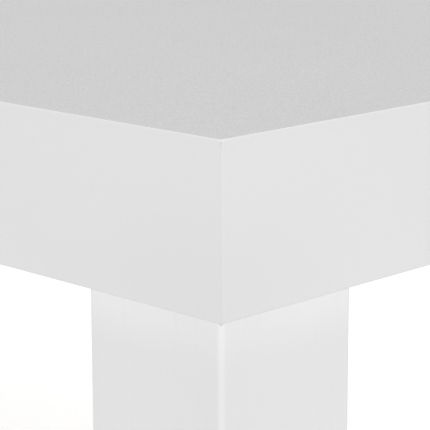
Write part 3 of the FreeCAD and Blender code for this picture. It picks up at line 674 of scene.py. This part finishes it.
def makeBolts():
    # two at each corner, along its diagonal: a wood thread in the leg, a machine thread in the nut
    bolt = bmesh.new()
    spinProfile(bolt, hangerBolt["core"], steps=24)
    screwThread(bolt, woodThread, hangerBolt["woodStart"], hangerBolt["woodLength"])
    screwThread(bolt, machineThread, hangerBolt["machineStart"], hangerBolt["machineLength"])
    inwards = Vector((1, 1, 0)).normalized()
    bolt.transform(inwards.to_track_quat("Z", "Y").to_matrix().to_4x4())
    single = bpy.data.meshes.new("boltPattern")
    bolt.to_mesh(single)
    bolt.free()
    mesh = bmesh.new()
    for corner in corners:
        low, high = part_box("corner_brace_" + corner)
        for height in (low.z + hangerBolt["fromBraceEdge"], high.z - hangerBolt["fromBraceEdge"]):
            count = len(mesh.verts)
            mesh.from_mesh(single)
            place = Matrix.Translation(inwards * hangerBolt["start"] + Vector((0, 0, height)))
            bmesh.ops.transform(mesh, matrix=cornerFrame(corner) @ place, verts=mesh.verts[count:])
    bpy.data.meshes.remove(single)
    makePiece("hangerBolts", mesh, "table_frame", zinc, "hanger_bolts")


makeTopSheet()
for side in apronStarts:
    makeApron(side)
for corner in corners:
    makeLeg(corner)
    makePad(corner)
    makeStem(corner)
makeBolts()
print("top, aprons, legs, feet and bolts made")


# How far each kind of planed wood has its arrises taken off, and the shortest edge that is planed.
planedWood = {
    "brace": {"ease": 1 * mm, "shortest": 30 * mm},
    "rail": {"ease": 0.5 * mm, "shortest": 100 * mm},
    "block": {"ease": 0.6 * mm, "shortest": 60 * mm},
}
oneFace = math.radians(1)  # faces that meet at less than this are one
arris = math.radians(40)  # an outer edge sharper than this is planed


def planed(name, node, kind, paint):
    # a merged copy of the node's own shape, with its long sharp edges planed off
    shape = planedWood[kind]
    mesh = bmesh.new()
    mesh.from_mesh(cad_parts[node].data)
    bmesh.ops.remove_doubles(mesh, verts=mesh.verts, dist=weld)
    bmesh.ops.dissolve_limit(mesh, angle_limit=oneFace, verts=mesh.verts, edges=mesh.edges)
    sharp = [edge for edge in mesh.edges if edge.calc_face_angle_signed(0) > arris]
    arrises = [edge for edge in sharp if edge.calc_length() > shape["shortest"]]
    roundOff(mesh, arrises, shape["ease"], segments=4)
    makePiece(name, mesh, "table_frame", paint, node)


for corner in corners:
    signX, signY = corners[corner][1:]
    wood = beech[-45 * signX * signY]  # its grain runs across the corner
    planed("cornerBrace_" + corner, "corner_brace_" + corner, "brace", wood)
for side in ("left", "middle", "right"):
    planed("crossRail_" + side, "cross_rail_" + side, "rail", pine[90])
for side in apronStarts:
    along = 0 if side in ("front", "back") else 90
    planed("glueBlocks_" + side, "glue_blocks_" + side, "block", pine[along])
print("braces, rails and blocks planed")


def repaint(node, paint):  # a node that keeps the frame's own shape
    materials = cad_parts[node].data.materials
    materials.clear()
    materials.append(paint)


repaint("top_core", fibreboard())
repaint("top_backer", balancingSheet())
for corner in corners:
    repaint("mitre_spline_" + corner, beech[0])
    repaint("leg_insert_" + corner, zinc)
repaint("rail_dowels", beech[0])
for node in ("rail_screws", "brace_screws", "bolt_washers", "bolt_nuts"):
    repaint(node, zinc)
print("carried-over pieces painted")


studio = {
    "floorHalf": 40, "floorGrey": grey(236), "floorLift": 0.44,
    "floorGap": 0.2 * mm, "contact": 0.5 * mm,  # a ray shorter than this misses the floor
    "worldLight": 0.735, "seenWhite": 1.0,
    "lampDistance": 6, "lampRise": 42, "lampTurn": 52, "lampWidth": 3, "lampHeight": 2,
    "lampEnergy": 138,
}


def rayFromView(paint):  # 1 for what the camera sees, by itself or in a mirror or through glass
    rays = [paint.node("ShaderNodeLightPath", output=name)
            for name in ("Is Camera Ray", "Is Glossy Ray", "Is Transmission Ray")]
    return paint.smallest(rays[0] + rays[1] + rays[2], 1.0)


def makeFloor():
    # pale and matt: the lift takes it to white where no shadow falls
    # it isn't there from below, nor for the soles that stand on it
    paint = newPaint("studioFloor")
    matt = paint.node("ShaderNodeBsdfDiffuse", None, {"Color": studio["floorGrey"]})
    lift = {"Color": grey(255), "Strength": studio["floorLift"]}
    glow = paint.node("ShaderNodeEmission", None, lift)
    lifted = paint.node("ShaderNodeAddShader", None, {0: matt, 1: glow})
    shown = paint.node("ShaderNodeMixShader", None, {0: rayFromView(paint), 1: matt, 2: lifted})
    reach = paint.node("ShaderNodeLightPath", output="Ray Length")
    within = {0: reach, 1: studio["contact"]}
    touching = paint.node("ShaderNodeMath", {"operation": "LESS_THAN"}, within)
    below = paint.node("ShaderNodeNewGeometry", output="Backfacing")
    clear = paint.node("ShaderNodeBsdfTransparent")
    hidden = paint.smallest(below + touching, 1.0)
    surface = paint.node("ShaderNodeMixShader", None, {0: hidden, 1: shown, 2: clear})
    paint.node("ShaderNodeOutputMaterial", None, {"Surface": surface})
    mesh = bmesh.new()
    bmesh.ops.create_grid(
        mesh, x_segments=1, y_segments=1, size=studio["floorHalf"],
        matrix=Matrix.Translation((0, 0, -studio["floorGap"])))
    data = bpy.data.meshes.new("floor")
    mesh.to_mesh(data)
    mesh.free()
    data.materials.append(paint.owner)
    floor = bpy.data.objects.new("floor", data)
    bpy.context.scene.collection.objects.link(floor)


def makeWorld():
    world = bpy.data.worlds.new("softRoom")
    bpy.context.scene.world = world
    paint = Paint(world)
    room, seen = [
        paint.node("ShaderNodeBackground", None, {"Color": grey(255), "Strength": studio[light]})
        for light in ("worldLight", "seenWhite")]
    surface = paint.node("ShaderNodeMixShader", None, {0: rayFromView(paint), 1: room, 2: seen})
    paint.node("ShaderNodeOutputWorld", None, {"Surface": surface})


def makeLamp():  # one large soft lamp before the near corner, turned from the front towards +X
    lamp = bpy.data.lights.new("softLamp", "AREA")
    lamp.shape = "RECTANGLE"
    lamp.size, lamp.size_y = studio["lampWidth"], studio["lampHeight"]
    lamp.energy = studio["lampEnergy"]
    turn, rise = math.radians(studio["lampTurn"]), math.radians(studio["lampRise"])
    away = Vector((math.sin(turn) * math.cos(rise), -math.cos(turn) * math.cos(rise), math.sin(rise)))
    light = bpy.data.objects.new("softLamp", lamp)
    light.visible_camera = False
    light.location = Vector((0, 0, cadHigh.z)) + away * studio["lampDistance"]
    light.rotation_euler = away.to_track_quat("Z", "Y").to_euler()
    bpy.context.scene.collection.objects.link(light)


# The camera stands off the front right corner of the top and looks a little down at it.
nearView = {
    "lens": 151.5, "sensor": 36, "clip": (0.01, 200),
    "right": 547.2 * mm, "front": 557.4 * mm, "above": 140.7 * mm,
    "heading": 44.67, "down": 12.59, "roll": -0.15,
}


def makeCamera():
    shot = nearView
    camera = bpy.data.cameras.new("paintedCornerShade")
    camera.lens = shot["lens"]
    camera.sensor_width = shot["sensor"]
    camera.clip_start, camera.clip_end = shot["clip"]
    place = Vector((cadHigh.x + shot["right"], cadLow.y - shot["front"], cadHigh.z + shot["above"]))
    turn = Matrix.Rotation(math.radians(shot["heading"]), 4, "Z")
    turn @= Matrix.Rotation(math.radians(90 - shot["down"]), 4, "X")
    turn @= Matrix.Rotation(math.radians(shot["roll"]), 4, "Z")
    stand = bpy.data.objects.new("paintedCornerShade", camera)
    stand.matrix_world = Matrix.Translation(place) @ turn
    bpy.context.scene.collection.objects.link(stand)
    bpy.context.scene.camera = stand


makeFloor()
makeWorld()
makeLamp()
makeCamera()
bpy.context.scene.view_settings.view_transform = "Standard"
print("studio made")
